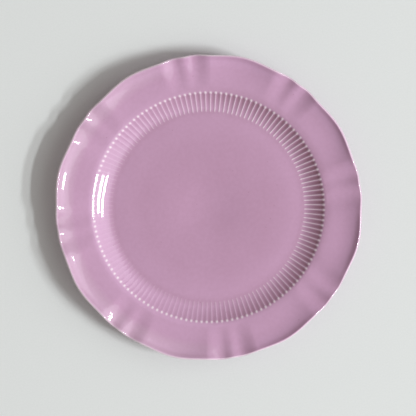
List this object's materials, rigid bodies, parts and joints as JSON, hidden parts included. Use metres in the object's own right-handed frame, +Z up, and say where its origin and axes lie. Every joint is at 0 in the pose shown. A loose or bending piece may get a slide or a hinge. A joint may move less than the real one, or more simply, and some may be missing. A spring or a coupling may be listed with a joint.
{
  "type": "scalloped dessert plate",
  "caption": "Round glazed dessert plate with a flat well, a fluted wall around it, a rising rim with scalloped edge and a bare foot ring to stand on.",
  "frame": {"origin": "centre of the plate on the surface that it stands on", "axes": "+Z up along the plate's axis, +X through the middle of a pair of small scallops"},
  "size_m": [0.1988, 0.1988, 0.0191],
  "materials": {
    "clay": "pale fired clay, bare at the lip and under the foot",
    "glaze": "glossy lilac-pink glaze"
  },
  "bodies": {
    "root": {"clay_body": "clay", "face_glaze": "glaze", "back_glaze": "glaze", "recess_glaze": "glaze"}
  },
  "joints": []
}
